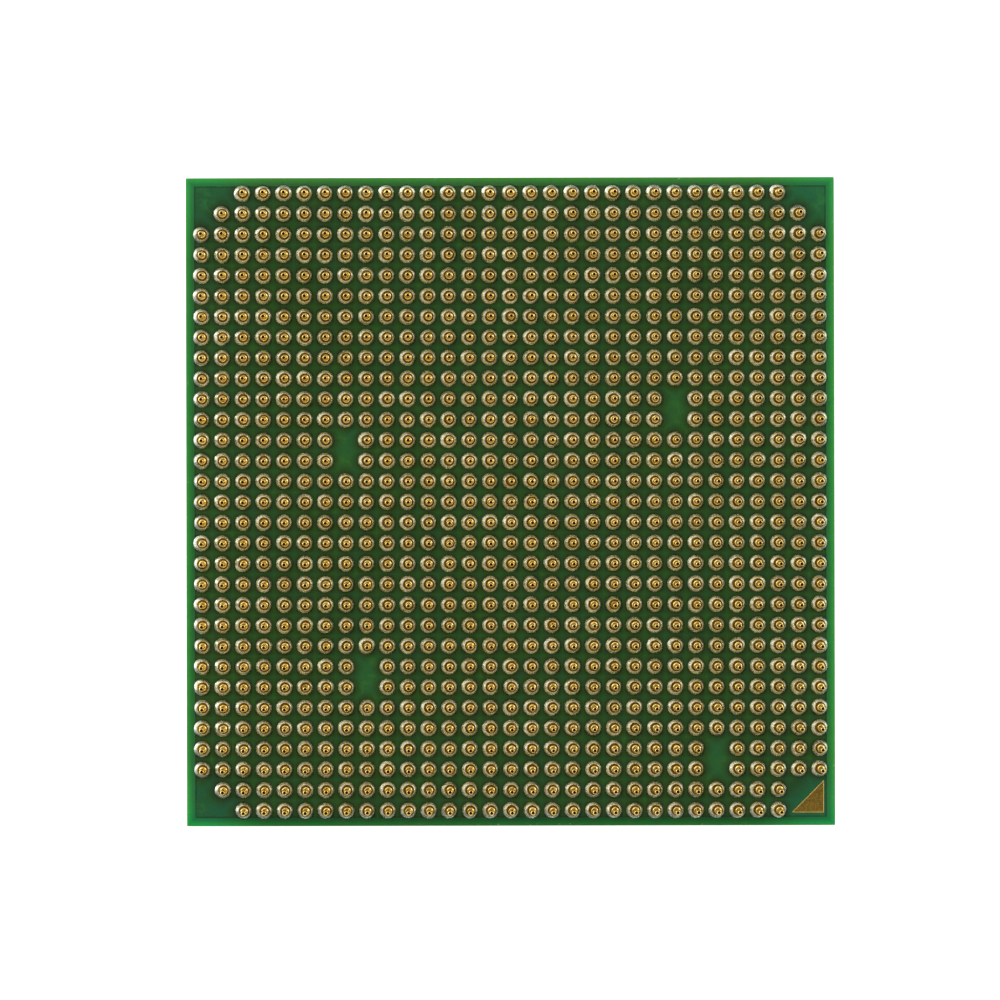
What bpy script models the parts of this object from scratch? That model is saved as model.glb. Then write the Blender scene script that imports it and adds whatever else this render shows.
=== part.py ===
"""Pin-grid processor package, modelled as separate stacked pieces.

The package lies with its metal lid down and its pins up.
Frame: origin at the centre of the lid's contact face, +Z up through the
substrate to the pin tips, +X and +Y along the package's sides.  The pin-one
corner is at +X, -Y.  "Front" is -Y and "left" is -X.  Every length is in
millimetres; mm() turns it into metres.
"""

import math

import bmesh
import bpy

# ----------------------------------------------------------------------------
# Shared dimensions (millimetres)
# ----------------------------------------------------------------------------
PACKAGE_SIDE = 40.0          # square laminate package
PACKAGE_CORNER = 0.03        # hairline 45 degree cut at each corner
LAYER_GAP = 0.01             # clearance between stacked pieces

# laminate
LAMINATE_BOTTOM = 2.95
LAMINATE_TOP = 4.15
MASK_THICKNESS = 0.04
BUILD_UP_THICKNESS = 0.19
COPPER_THICKNESS = 0.02
COPPER_MARGIN = 0.51         # from the package's side to the copper plane
COPPER_CORNER = 0.05

# pin grid
PITCH = 1.27
GRID = 31                    # 31 rows of 31 positions
LAST = GRID - 1
PIN_SIDE = 0.27              # square section of the same area as a 0.305 round pin
PIN_STANDOUT = 2.03          # from the laminate's pin face to the tip
RAIL_WIDTH = 0.56            # soldered line that carries one row of pins
RAIL_RECESS = 0.004          # rail's top below the laminate's pin face
RAIL_CLEARANCE = 0.03        # between a rail and its opening in the mask

# positions with no pin: (column, row), counted from the -X, +Y corner
EMPTY_POSITIONS = {
    # keys that match the part to its socket
    (23, 10), (23, 11),
    (7, 12), (7, 13),
    (8, 23), (8, 24),
    (25, 27), (25, 28),
    # pin-one corner
    (LAST - 1, LAST - 1), (LAST, LAST - 1), (LAST - 1, LAST), (LAST, LAST),
    # the other three corners
    (0, 0), (1, 0), (0, 1),
    (LAST, 0), (LAST - 1, 0), (LAST, 1),
    (0, LAST), (0, LAST - 1), (1, LAST),
}
# row names from the -Y side to the +Y side
ROW_LETTERS = list("ABCDEFGHJKLMNPRTUVWY") + ["A" + letter for letter in "ABCDEFGHJKL"]

# lid and die, which the pieces round them also follow
LID_HEIGHT = 2.80
LID_SIDE = 37.5
LID_CORNER = 3.0             # 45 degree corner cuts of the flange
CAVITY_SIDE = 30.4
DIE_X, DIE_Y = 14.0, 13.0


def mm(value):
    return value / 1000.0


# ----------------------------------------------------------------------------
# Heights of the laminate's layers, as (bottom, top)
# ----------------------------------------------------------------------------
def layer_above(lower, thickness):
    bottom = lower[1] + LAYER_GAP
    return bottom, bottom + thickness


def layer_below(upper, thickness):
    top = upper[0] - LAYER_GAP
    return top - thickness, top


Z_LID_MASK = (LAMINATE_BOTTOM, LAMINATE_BOTTOM + MASK_THICKNESS)
Z_LID_BUILD_UP = layer_above(Z_LID_MASK, BUILD_UP_THICKNESS)
Z_PIN_MASK = (LAMINATE_TOP - MASK_THICKNESS, LAMINATE_TOP)
Z_COPPER = layer_below(Z_PIN_MASK, COPPER_THICKNESS)
Z_PIN_BUILD_UP = layer_below(Z_COPPER, BUILD_UP_THICKNESS)
Z_CORE = (Z_LID_BUILD_UP[1] + LAYER_GAP, Z_PIN_BUILD_UP[0] - LAYER_GAP)

# top of everything that hangs under the laminate
Z_MOUNT = LAMINATE_BOTTOM - LAYER_GAP


# ----------------------------------------------------------------------------
# Scene and objects
# ----------------------------------------------------------------------------
for old in list(bpy.data.objects):
    bpy.data.objects.remove(old, do_unlink=True)

PACKAGE = bpy.data.objects.new("package", None)
bpy.context.scene.collection.objects.link(PACKAGE)


def material(name, *, colour, roughness, metallic):
    made = bpy.data.materials.new(name)
    made.use_nodes = True
    shader = made.node_tree.nodes["Principled BSDF"]
    shader.inputs["Base Color"].default_value = (*colour, 1.0)
    shader.inputs["Roughness"].default_value = roughness
    shader.inputs["Metallic"].default_value = metallic
    made.diffuse_color = (*colour, 1.0)
    return made


def add_object(name, bm, look, location=(0.0, 0.0, 0.0)):
    """Turn a bmesh (millimetres, about its own origin) into one named object."""
    bmesh.ops.scale(bm, vec=(mm(1), mm(1), mm(1)), verts=bm.verts)
    bmesh.ops.recalc_face_normals(bm, faces=bm.faces)
    mesh = bpy.data.meshes.new(name)
    bm.to_mesh(mesh)
    bm.free()
    if look is not None:
        mesh.materials.append(look)
    made = bpy.data.objects.new(name, mesh)
    made.location = [mm(v) for v in location]
    bpy.context.scene.collection.objects.link(made)
    made.parent = PACKAGE
    return made


def subtract(target, name, bm, location=(0.0, 0.0, 0.0)):
    """Cut a hidden helper out of the target with a boolean modifier."""
    tool = add_object(name, bm, None, location)
    tool.hide_render = True
    tool.display_type = "WIRE"
    cut = target.modifiers.new("cut_" + name, "BOOLEAN")
    cut.operation = "DIFFERENCE"
    cut.solver = "EXACT"
    cut.object = tool


# ----------------------------------------------------------------------------
# Outlines (anticlockwise points) and shells
# ----------------------------------------------------------------------------
def rectangle(size_x, size_y, x=0.0, y=0.0):
    """Corners of a rectangle centred on x, y, from its front left corner."""
    return [
        (x + sx * size_x / 2, y + sy * size_y / 2)
        for sx, sy in ((-1, -1), (1, -1), (1, 1), (-1, 1))
    ]


def cut_rectangle(size_x, size_y, corner):
    """Corner points of a rectangle whose corners are cut at 45 degrees."""
    half_x, half_y = size_x / 2, size_y / 2
    points = []
    for sx, sy in ((1, -1), (1, 1), (-1, 1), (-1, -1)):
        on_x_side = (sx * half_x, sy * (half_y - corner))
        on_y_side = (sx * (half_x - corner), sy * half_y)
        # going anticlockwise, the first point of each pair alternates
        points += [on_y_side, on_x_side] if sx * sy < 0 else [on_x_side, on_y_side]
    return points


def cut_square(side, corner):
    return cut_rectangle(side, side, corner)


def corner_triangle(right, front, leg):
    """Right triangle with its right angle at its +X, -Y corner."""
    return [(right, front), (right, front + leg), (right - leg, front)]


def raise_face(bm, face, height):
    """Extrude a face straight up, keeping the original face."""
    grown = bmesh.ops.extrude_face_region(bm, geom=[face])
    moved = [item for item in grown["geom"] if isinstance(item, bmesh.types.BMVert)]
    bmesh.ops.translate(bm, vec=(0, 0, height), verts=moved)


def slab(outline, z0, z1, bm=None):
    """A flat plate from z0 to z1, in a new bmesh or added to a given one."""
    if bm is None:
        bm = bmesh.new()
    face = bm.faces.new([bm.verts.new((x, y, z0)) for x, y in outline])
    raise_face(bm, face, z1 - z0)
    return bm


def at_height(outline, z):
    return [(x, y, z) for x, y in outline]


def loft(loops, ring=False):
    """A closed shell through loops of equal point counts.

    The two end loops are capped, or joined to each other when ring is true.
    """
    bm = bmesh.new()
    rims = [[bm.verts.new(point) for point in loop] for loop in loops]
    following = rims[1:] + rims[:1] if ring else rims[1:]
    for lower, upper in zip(rims, following):
        for k in range(len(lower)):
            n = (k + 1) % len(lower)
            bm.faces.new([lower[k], lower[n], upper[n], upper[k]])
    if not ring:
        bm.faces.new(rims[0][::-1])
        bm.faces.new(rims[-1])
    return bm


# ----------------------------------------------------------------------------
# Laminate layers
# ----------------------------------------------------------------------------
SOLDER_MASK = material(
    "solder_mask_green", colour=(0.025, 0.10, 0.028), roughness=0.38, metallic=0.0
)
LAMINATE = material("laminate", colour=(0.30, 0.27, 0.12), roughness=0.55, metallic=0.0)
CORE = material("glass_epoxy_core", colour=(0.38, 0.34, 0.17), roughness=0.6, metallic=0.0)
COPPER = material("copper", colour=(0.72, 0.36, 0.20), roughness=0.35, metallic=1.0)

package_outline = cut_square(PACKAGE_SIDE, PACKAGE_CORNER)
copper_outline = cut_square(PACKAGE_SIDE - 2 * COPPER_MARGIN, COPPER_CORNER)

add_object("substrate_core", slab(package_outline, *Z_CORE), CORE)
add_object("build_up_lid_side", slab(package_outline, *Z_LID_BUILD_UP), LAMINATE)
add_object("build_up_pin_side", slab(package_outline, *Z_PIN_BUILD_UP), LAMINATE)
add_object("copper_plane_pin_side", slab(copper_outline, *Z_COPPER), COPPER)
mask_lid = add_object("solder_mask_lid_side", slab(package_outline, *Z_LID_MASK), SOLDER_MASK)
mask_pin = add_object("solder_mask_pin_side", slab(package_outline, *Z_PIN_MASK), SOLDER_MASK)

# window at the die, which the solder bumps pass through
WINDOW_MARGIN = 0.2
WINDOW_OVERCUT = 0.5         # how far the cutter passes each face of the mask
subtract(mask_lid, "die_window", slab(
    rectangle(DIE_X + 2 * WINDOW_MARGIN, DIE_Y + 2 * WINDOW_MARGIN),
    Z_LID_MASK[0] - WINDOW_OVERCUT,
    Z_LID_MASK[1] + WINDOW_OVERCUT,
))


# ----------------------------------------------------------------------------
# Pins: each row is a comb, its pins standing on the row's soldered rail
# ----------------------------------------------------------------------------
PIN_METAL = material(
    "gold_plated_pin", colour=(0.80, 0.56, 0.22), roughness=0.22, metallic=1.0
)


def row_y(row):
    return (LAST / 2 - row) * PITCH


def column_x(column):
    return (column - LAST / 2) * PITCH


def row_columns(row):
    return [column for column in range(GRID) if (column, row) not in EMPTY_POSITIONS]


def rail_outline(columns, y=0.0, grow=0.0):
    """Rail under the given columns, widened by grow on every side."""
    first, last = column_x(columns[0]), column_x(columns[-1])
    width = RAIL_WIDTH + 2 * grow
    return rectangle(last - first + width, width, x=(first + last) / 2, y=y)


def pin_comb(columns):
    """One row of square pins rising from a flat rail, as a single shell.

    The rail's top is rebuilt with a square opening for each pin: triangles
    along its front and back, quads at its ends and between the pins.
    """
    rail_top = LAMINATE_TOP - RAIL_RECESS
    bm = slab(rail_outline(columns), Z_PIN_MASK[0], rail_top)
    top = max(bm.faces, key=lambda face: face.calc_center_median().z)
    front_left, back_left, front_right, back_right = sorted(
        top.verts, key=lambda vert: (vert.co.x, vert.co.y)
    )
    bmesh.ops.delete(bm, geom=[top], context="FACES_ONLY")

    # each foot runs front left, front right, back right, back left
    feet = [
        [
            bm.verts.new((x, y, rail_top))
            for x, y in rectangle(PIN_SIDE, PIN_SIDE, x=column_x(column))
        ]
        for column in columns
    ]
    front_feet = [vert for foot in feet for vert in (foot[0], foot[1])]
    back_feet = [vert for foot in feet for vert in (foot[3], foot[2])]

    # each strip fans out from the rail's left corner, then from its right one
    middle = len(front_feet) // 2
    for left, right, inner in (
        (front_left, front_right, front_feet),
        (back_left, back_right, back_feet),
    ):
        for k in range(len(inner) - 1):
            hub = left if k < middle else right
            bm.faces.new([hub, inner[k + 1], inner[k]])
        bm.faces.new([left, right, inner[middle]])

    bm.faces.new([back_left, front_left, feet[0][0], feet[0][3]])
    bm.faces.new([front_right, back_right, feet[-1][2], feet[-1][1]])
    for left, right in zip(feet, feet[1:]):
        bm.faces.new([left[1], right[0], right[3], left[2]])

    # the base is removed so that each pin opens into the rail
    for foot in feet:
        base = bm.faces.new(foot)
        raise_face(bm, base, LAMINATE_TOP + PIN_STANDOUT - rail_top)
        bmesh.ops.delete(bm, geom=[base], context="FACES_ONLY")
    return bm


for row in range(GRID):
    letter = ROW_LETTERS[LAST - row]
    add_object("pin_row_" + letter, pin_comb(row_columns(row)), PIN_METAL, (0, row_y(row), 0))

# one long opening in the pin-side mask for each row
ROW_CUT_REACH = 0.2          # cutter's reach above and below the pin face
openings = bmesh.new()
for row in range(GRID):
    slab(
        rail_outline(row_columns(row), y=row_y(row), grow=RAIL_CLEARANCE),
        LAMINATE_TOP - ROW_CUT_REACH,
        LAMINATE_TOP + ROW_CUT_REACH,
        openings,
    )
subtract(mask_pin, "row_openings", openings)


# ----------------------------------------------------------------------------
# Pin-one markers: triangles in the +X, -Y corner of both faces
# ----------------------------------------------------------------------------
MARKER_RIGHT, MARKER_FRONT = 19.31, -19.22
MARKER_LEG = 2.0
MARKER_CLEARANCE = 0.05      # between the marker and its opening, on all three sides
MARKER_RECESS = 0.012        # marker's top below the laminate's pin face
MARKER_CUT_REACH = 0.3       # cutter's reach above and below the pin face
LID_MARKER_PLACE = 19.6      # right angle's distance from the centre along X and Y
LID_MARKER_LEG = 1.1
LID_MARKER_THICKNESS = 0.02

GOLD = material("gold", colour=(0.83, 0.60, 0.24), roughness=0.25, metallic=1.0)

# offsetting a right isosceles triangle's sides lengthens its legs by 2 + sqrt(2) offsets
marker_opening = corner_triangle(
    MARKER_RIGHT + MARKER_CLEARANCE,
    MARKER_FRONT - MARKER_CLEARANCE,
    MARKER_LEG + MARKER_CLEARANCE * (2 + math.sqrt(2)),
)
subtract(mask_pin, "marker_opening", slab(
    marker_opening, LAMINATE_TOP - MARKER_CUT_REACH, LAMINATE_TOP + MARKER_CUT_REACH
))
pin_marker = corner_triangle(MARKER_RIGHT, MARKER_FRONT, MARKER_LEG)
add_object(
    "pin_one_marker_pin_side",
    slab(pin_marker, Z_PIN_MASK[0], Z_PIN_MASK[1] - MARKER_RECESS),
    GOLD,
)
lid_marker = corner_triangle(LID_MARKER_PLACE, -LID_MARKER_PLACE, LID_MARKER_LEG)
add_object(
    "pin_one_marker_lid_side",
    slab(lid_marker, Z_MOUNT - LID_MARKER_THICKNESS, Z_MOUNT),
    GOLD,
)


# ----------------------------------------------------------------------------
# Lid (heat spreader): raised contact pad below, wider flange above
# ----------------------------------------------------------------------------
LID_STEP = 1.70              # height where the pad meets the flange
PAD_SIDE = 34.0
PAD_CORNER = 2.2
CAVITY_CORNER = 1.6
CAVITY_CEILING = 2.025       # height of the cavity's closed end
CAVITY_OVERCUT = 1.0
LID_EDGE_ROUND = 0.14

NICKEL = material(
    "nickel_plated_copper", colour=(0.62, 0.61, 0.58), roughness=0.3, metallic=1.0
)

pad_outline = cut_square(PAD_SIDE, PAD_CORNER)
flange_outline = cut_square(LID_SIDE, LID_CORNER)
lid = add_object("heat_spreader_lid", loft([
    at_height(pad_outline, 0.0),
    at_height(pad_outline, LID_STEP),
    at_height(flange_outline, LID_STEP),
    at_height(flange_outline, LID_HEIGHT),
]), NICKEL)
lid.data.shade_smooth()
lid.data.set_sharp_from_angle(angle=math.radians(35))

# rounded before the cavity is cut, so that the cavity's rim stays sharp
edge_round = lid.modifiers.new("round_edges", "BEVEL")
edge_round.width = mm(LID_EDGE_ROUND)
edge_round.segments = 2
edge_round.limit_method = "ANGLE"
edge_round.angle_limit = math.radians(50)
subtract(lid, "lid_cavity", slab(
    cut_square(CAVITY_SIDE, CAVITY_CORNER), CAVITY_CEILING, LID_HEIGHT + CAVITY_OVERCUT
))


# ----------------------------------------------------------------------------
# Adhesive bead on the flange, left open at +Y so that the cavity breathes
# ----------------------------------------------------------------------------
BEAD_OUTER_SIDE = LID_SIDE - 2 * 0.45       # set in from the flange's edge
BEAD_OUTER_CORNER = LID_CORNER - 0.2
BEAD_INNER_SIDE = CAVITY_SIDE + 2 * 0.4     # set back from the cavity's edge
BEAD_INNER_CORNER = 1.8
VENT_WIDTH, VENT_LENGTH = 3.0, 8.0
VENT_OFFSET = 1.5            # vent's centre beyond the bead's inner edge
BEAD_CUT_BOTTOM, BEAD_CUT_TOP = LID_HEIGHT - 1, Z_MOUNT + 1

SEALANT = material("lid_sealant", colour=(0.05, 0.05, 0.055), roughness=0.6, metallic=0.0)

bead = add_object(
    "lid_adhesive",
    slab(cut_square(BEAD_OUTER_SIDE, BEAD_OUTER_CORNER), LID_HEIGHT + LAYER_GAP, Z_MOUNT),
    SEALANT,
)
subtract(bead, "bead_inside", slab(
    cut_square(BEAD_INNER_SIDE, BEAD_INNER_CORNER), BEAD_CUT_BOTTOM, BEAD_CUT_TOP
))
subtract(
    bead,
    "bead_vent",
    slab(rectangle(VENT_WIDTH, VENT_LENGTH), BEAD_CUT_BOTTOM, BEAD_CUT_TOP),
    (0, BEAD_INNER_SIDE / 2 + VENT_OFFSET, 0),
)


# ----------------------------------------------------------------------------
# Die stack inside the lid, from the laminate down
# ----------------------------------------------------------------------------
DIE_THICKNESS = 0.77
BUMP_HEIGHT = 0.07           # below the laminate
BUMP_INSET = 0.15            # from the die's side to the bump layer
BUMP_RECESS = 0.005          # bump layer's top below the top of the lid-side mask
INTERFACE_THICKNESS = 0.05
INTERFACE_MARGIN = 0.25      # beyond the die's side
INTERFACE_CORNER = 0.5

SOLDER = material("solder", colour=(0.55, 0.54, 0.50), roughness=0.4, metallic=1.0)
SILICON = material("silicon", colour=(0.12, 0.12, 0.14), roughness=0.2, metallic=0.3)
INTERFACE = material(
    "thermal_interface", colour=(0.48, 0.49, 0.50), roughness=0.5, metallic=0.6
)
EPOXY = material("underfill_epoxy", colour=(0.06, 0.07, 0.09), roughness=0.45, metallic=0.0)

z_bumps = (Z_MOUNT - BUMP_HEIGHT, Z_LID_MASK[1] - BUMP_RECESS)
z_die = layer_below(z_bumps, DIE_THICKNESS)
z_interface = layer_below(z_die, INTERFACE_THICKNESS)

bump_outline = rectangle(DIE_X - 2 * BUMP_INSET, DIE_Y - 2 * BUMP_INSET)
interface_outline = cut_rectangle(
    DIE_X + 2 * INTERFACE_MARGIN, DIE_Y + 2 * INTERFACE_MARGIN, INTERFACE_CORNER
)
add_object("solder_bump_layer", slab(bump_outline, *z_bumps), SOLDER)
add_object("silicon_die", slab(rectangle(DIE_X, DIE_Y), *z_die), SILICON)
add_object("thermal_interface", slab(interface_outline, *z_interface), INTERFACE)

# the underfill is a sloped fillet round the die, widest at the laminate
UNDERFILL_SPREAD = 0.85
UNDERFILL_GAP = 0.02         # between the die's side and the underfill
UNDERFILL_LIP = 0.08         # outer edge of the thin end, from the die's side
UNDERFILL_REACH = 0.55       # share of the die's thickness that is covered
KNEE_SPREAD = 0.45           # share of the spread left where the slope changes
KNEE_RAISE = 0.06            # slope change above the fillet's mid-height

z_end = z_die[1] - DIE_THICKNESS * UNDERFILL_REACH
z_knee = (Z_MOUNT + z_end) / 2 + KNEE_RAISE
underfill_section = (        # distance from the die's side, height
    (UNDERFILL_GAP, Z_MOUNT),
    (UNDERFILL_SPREAD, Z_MOUNT),
    (UNDERFILL_SPREAD * KNEE_SPREAD, z_knee),
    (UNDERFILL_LIP, z_end),
    (UNDERFILL_GAP, z_end),
)
underfill_loops = [
    at_height(rectangle(DIE_X + 2 * distance, DIE_Y + 2 * distance), z)
    for distance, z in underfill_section
]
add_object("underfill", loft(underfill_loops, ring=True), EPOXY)


# ----------------------------------------------------------------------------
# Decoupling capacitors under the lid, three along each side of the die
# ----------------------------------------------------------------------------
CAP_LENGTH, CAP_WIDTH, CAP_HEIGHT = 1.60, 0.80, 0.50
CAP_END = CAP_LENGTH * 0.2   # length of each metal end
CAP_BODY_FULLNESS = 0.9      # body's section relative to the ends
CAPS_PER_SIDE = 3
CAP_SPACING = 3.6
CAP_DISTANCE = 11.4          # from the package's centre to a row of capacitors
# side of the die: direction from the centre
CAP_SIDES = {"east": (1, 0), "north": (0, 1), "west": (-1, 0), "south": (0, -1)}

CERAMIC = material(
    "capacitor_ceramic", colour=(0.42, 0.30, 0.18), roughness=0.5, metallic=0.0
)


def capacitor():
    """A chip lying along X with slightly thicker ends, as one shell."""
    half = CAP_LENGTH / 2
    body = half - CAP_END
    stations = (             # x, fullness of the section
        (-half, 1.0), (-body, 1.0), (-body, CAP_BODY_FULLNESS),
        (body, CAP_BODY_FULLNESS), (body, 1.0), (half, 1.0),
    )
    return loft([
        [(x, y, z) for y, z in rectangle(CAP_WIDTH * fullness, CAP_HEIGHT * fullness)]
        for x, fullness in stations
    ])


for side, (dx, dy) in CAP_SIDES.items():
    for n in range(CAPS_PER_SIDE):
        along = (n - (CAPS_PER_SIDE - 1) / 2) * CAP_SPACING
        place = (
            dx * CAP_DISTANCE + abs(dy) * along,
            dy * CAP_DISTANCE + abs(dx) * along,
            Z_MOUNT - CAP_HEIGHT / 2,
        )
        chip = add_object(f"capacitor_{side}_{n + 1}", capacitor(), CERAMIC, place)
        # each chip's length runs along the die's side
        chip.rotation_euler = (0, 0, math.radians(90) if dx else 0)

bpy.context.view_layer.update()
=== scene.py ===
import math

import bpy
import numpy as np
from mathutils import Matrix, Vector
from mathutils.geometry import delaunay_2d_cdt


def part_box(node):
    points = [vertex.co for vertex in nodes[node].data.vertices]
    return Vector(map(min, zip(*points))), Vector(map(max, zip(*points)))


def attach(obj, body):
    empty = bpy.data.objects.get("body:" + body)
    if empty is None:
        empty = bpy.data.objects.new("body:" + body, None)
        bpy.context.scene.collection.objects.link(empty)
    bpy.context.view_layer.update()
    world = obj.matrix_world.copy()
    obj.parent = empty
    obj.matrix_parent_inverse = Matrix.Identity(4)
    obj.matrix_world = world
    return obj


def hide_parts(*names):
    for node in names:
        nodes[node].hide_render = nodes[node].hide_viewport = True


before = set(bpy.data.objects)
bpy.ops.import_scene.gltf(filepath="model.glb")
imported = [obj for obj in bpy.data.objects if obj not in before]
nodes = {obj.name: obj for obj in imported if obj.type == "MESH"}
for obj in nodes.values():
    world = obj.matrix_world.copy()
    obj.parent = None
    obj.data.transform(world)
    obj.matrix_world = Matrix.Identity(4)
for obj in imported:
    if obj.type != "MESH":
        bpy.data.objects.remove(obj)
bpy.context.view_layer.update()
MM = 0.001


# ---------------------------------------------------------------------------
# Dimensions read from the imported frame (millimetres)
# ---------------------------------------------------------------------------
def box_mm(node):
    lo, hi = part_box(node)
    return np.array(lo) / MM, np.array(hi) / MM


MASK_LO, MASK_HI = box_mm("solder_mask_pin_side")
HALF = float(MASK_HI[0])                 # half the package side
TOP = float(MASK_HI[2])                  # the laminate's pin face
MASK_BOTTOM = float(MASK_LO[2])
CU_LO, CU_HI = box_mm("copper_plane_pin_side")
CU_HALF = float(CU_HI[0])
MARK_LO, MARK_HI = box_mm("pin_one_marker_pin_side")

ROWS = sorted(n for n in nodes if n.startswith("pin_row_"))
PINS = {}                                # row node -> (y, [x of each pin])
TIP = 0.0
for name in ROWS:
    co = np.zeros(len(nodes[name].data.vertices) * 3)
    nodes[name].data.vertices.foreach_get("co", co)
    co = co.reshape(-1, 3) / MM
    TIP = max(TIP, co[:, 2].max())
    tips = co[co[:, 2] > co[:, 2].max() - 1e-3]
    edges = np.unique(np.round(tips[:, 0], 3))
    PINS[name] = (float(np.round(tips[:, 1].mean(), 4)), [float(v) for v in (edges[0::2] + edges[1::2]) / 2])
STANDOUT = TIP - TOP
ALL_Y = sorted({v[0] for v in PINS.values()})
PITCH = (ALL_Y[-1] - ALL_Y[0]) / (len(ALL_Y) - 1)
GRID = len(ALL_Y)
EDGE = (GRID / 2) * PITCH                # outer side of the outermost cells


# ---------------------------------------------------------------------------
# Mesh helpers: arrays in millimetres, faces as index arrays
# ---------------------------------------------------------------------------
def mesh_object(name, verts, quads=None, tris=None, smooth=True, attrs=None, sharp=None):
    verts = np.asarray(verts, np.float64)
    quads = np.zeros((0, 4), np.int32) if quads is None else np.asarray(quads, np.int32).reshape(-1, 4)
    tris = np.zeros((0, 3), np.int32) if tris is None else np.asarray(tris, np.int32).reshape(-1, 3)
    mesh = bpy.data.meshes.new(name)
    mesh.vertices.add(len(verts))
    mesh.vertices.foreach_set("co", (verts * MM).astype(np.float32).ravel())
    loops = np.concatenate([quads.ravel(), tris.ravel()]).astype(np.int32)
    mesh.loops.add(len(loops))
    mesh.loops.foreach_set("vertex_index", loops)
    starts = np.concatenate([np.arange(len(quads)) * 4, len(quads) * 4 + np.arange(len(tris)) * 3])
    mesh.polygons.add(len(starts))
    mesh.polygons.foreach_set("loop_start", starts.astype(np.int32))
    mesh.update(calc_edges=True)
    mesh.validate()
    for key, values in (attrs or {}).items():
        layer = mesh.attributes.new(key, "FLOAT", "POINT")
        layer.data.foreach_set("value", np.asarray(values, np.float32))
    if smooth:
        mesh.shade_smooth()
        if sharp is not None:
            mesh.set_sharp_from_angle(angle=math.radians(sharp))
    else:
        mesh.shade_flat()
    obj = bpy.data.objects.new(name, mesh)
    bpy.context.scene.collection.objects.link(obj)
    return obj


def face_object(name, verts, faces, smooth=True, attrs=None, sharp=None):
    """The same for faces of any length."""
    mesh = bpy.data.meshes.new(name)
    mesh.from_pydata([tuple(float(c) * MM for c in v) for v in verts], [], [tuple(int(i) for i in f) for f in faces])
    mesh.update(calc_edges=True)
    mesh.validate()
    for key, values in (attrs or {}).items():
        layer = mesh.attributes.new(key, "FLOAT", "POINT")
        layer.data.foreach_set("value", np.asarray(values, np.float32))
    if smooth:
        mesh.shade_smooth()
        if sharp is not None:
            mesh.set_sharp_from_angle(angle=math.radians(sharp))
    obj = bpy.data.objects.new(name, mesh)
    bpy.context.scene.collection.objects.link(obj)
    return obj


def lathe_faces(rings, seg, cap_low, cap_high, ring_closed=False):
    """Quads between rings, and fans to a centre vertex at each end."""
    s = np.arange(seg)
    n = (s + 1) % seg
    quads = []
    last = rings if ring_closed else rings - 1
    for k in range(last):
        a, b = k * seg, ((k + 1) % rings) * seg
        quads.append(np.stack([a + s, a + n, b + n, b + s], 1))
    quads = np.concatenate(quads)
    tris = []
    if cap_low is not None:
        tris.append(np.stack([np.full(seg, cap_low), n, s], 1))
    if cap_high is not None:
        a = (rings - 1) * seg
        tris.append(np.stack([np.full(seg, cap_high), a + s, a + n], 1))
    tris = np.concatenate(tris) if tris else np.zeros((0, 3), int)
    return quads, tris


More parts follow.
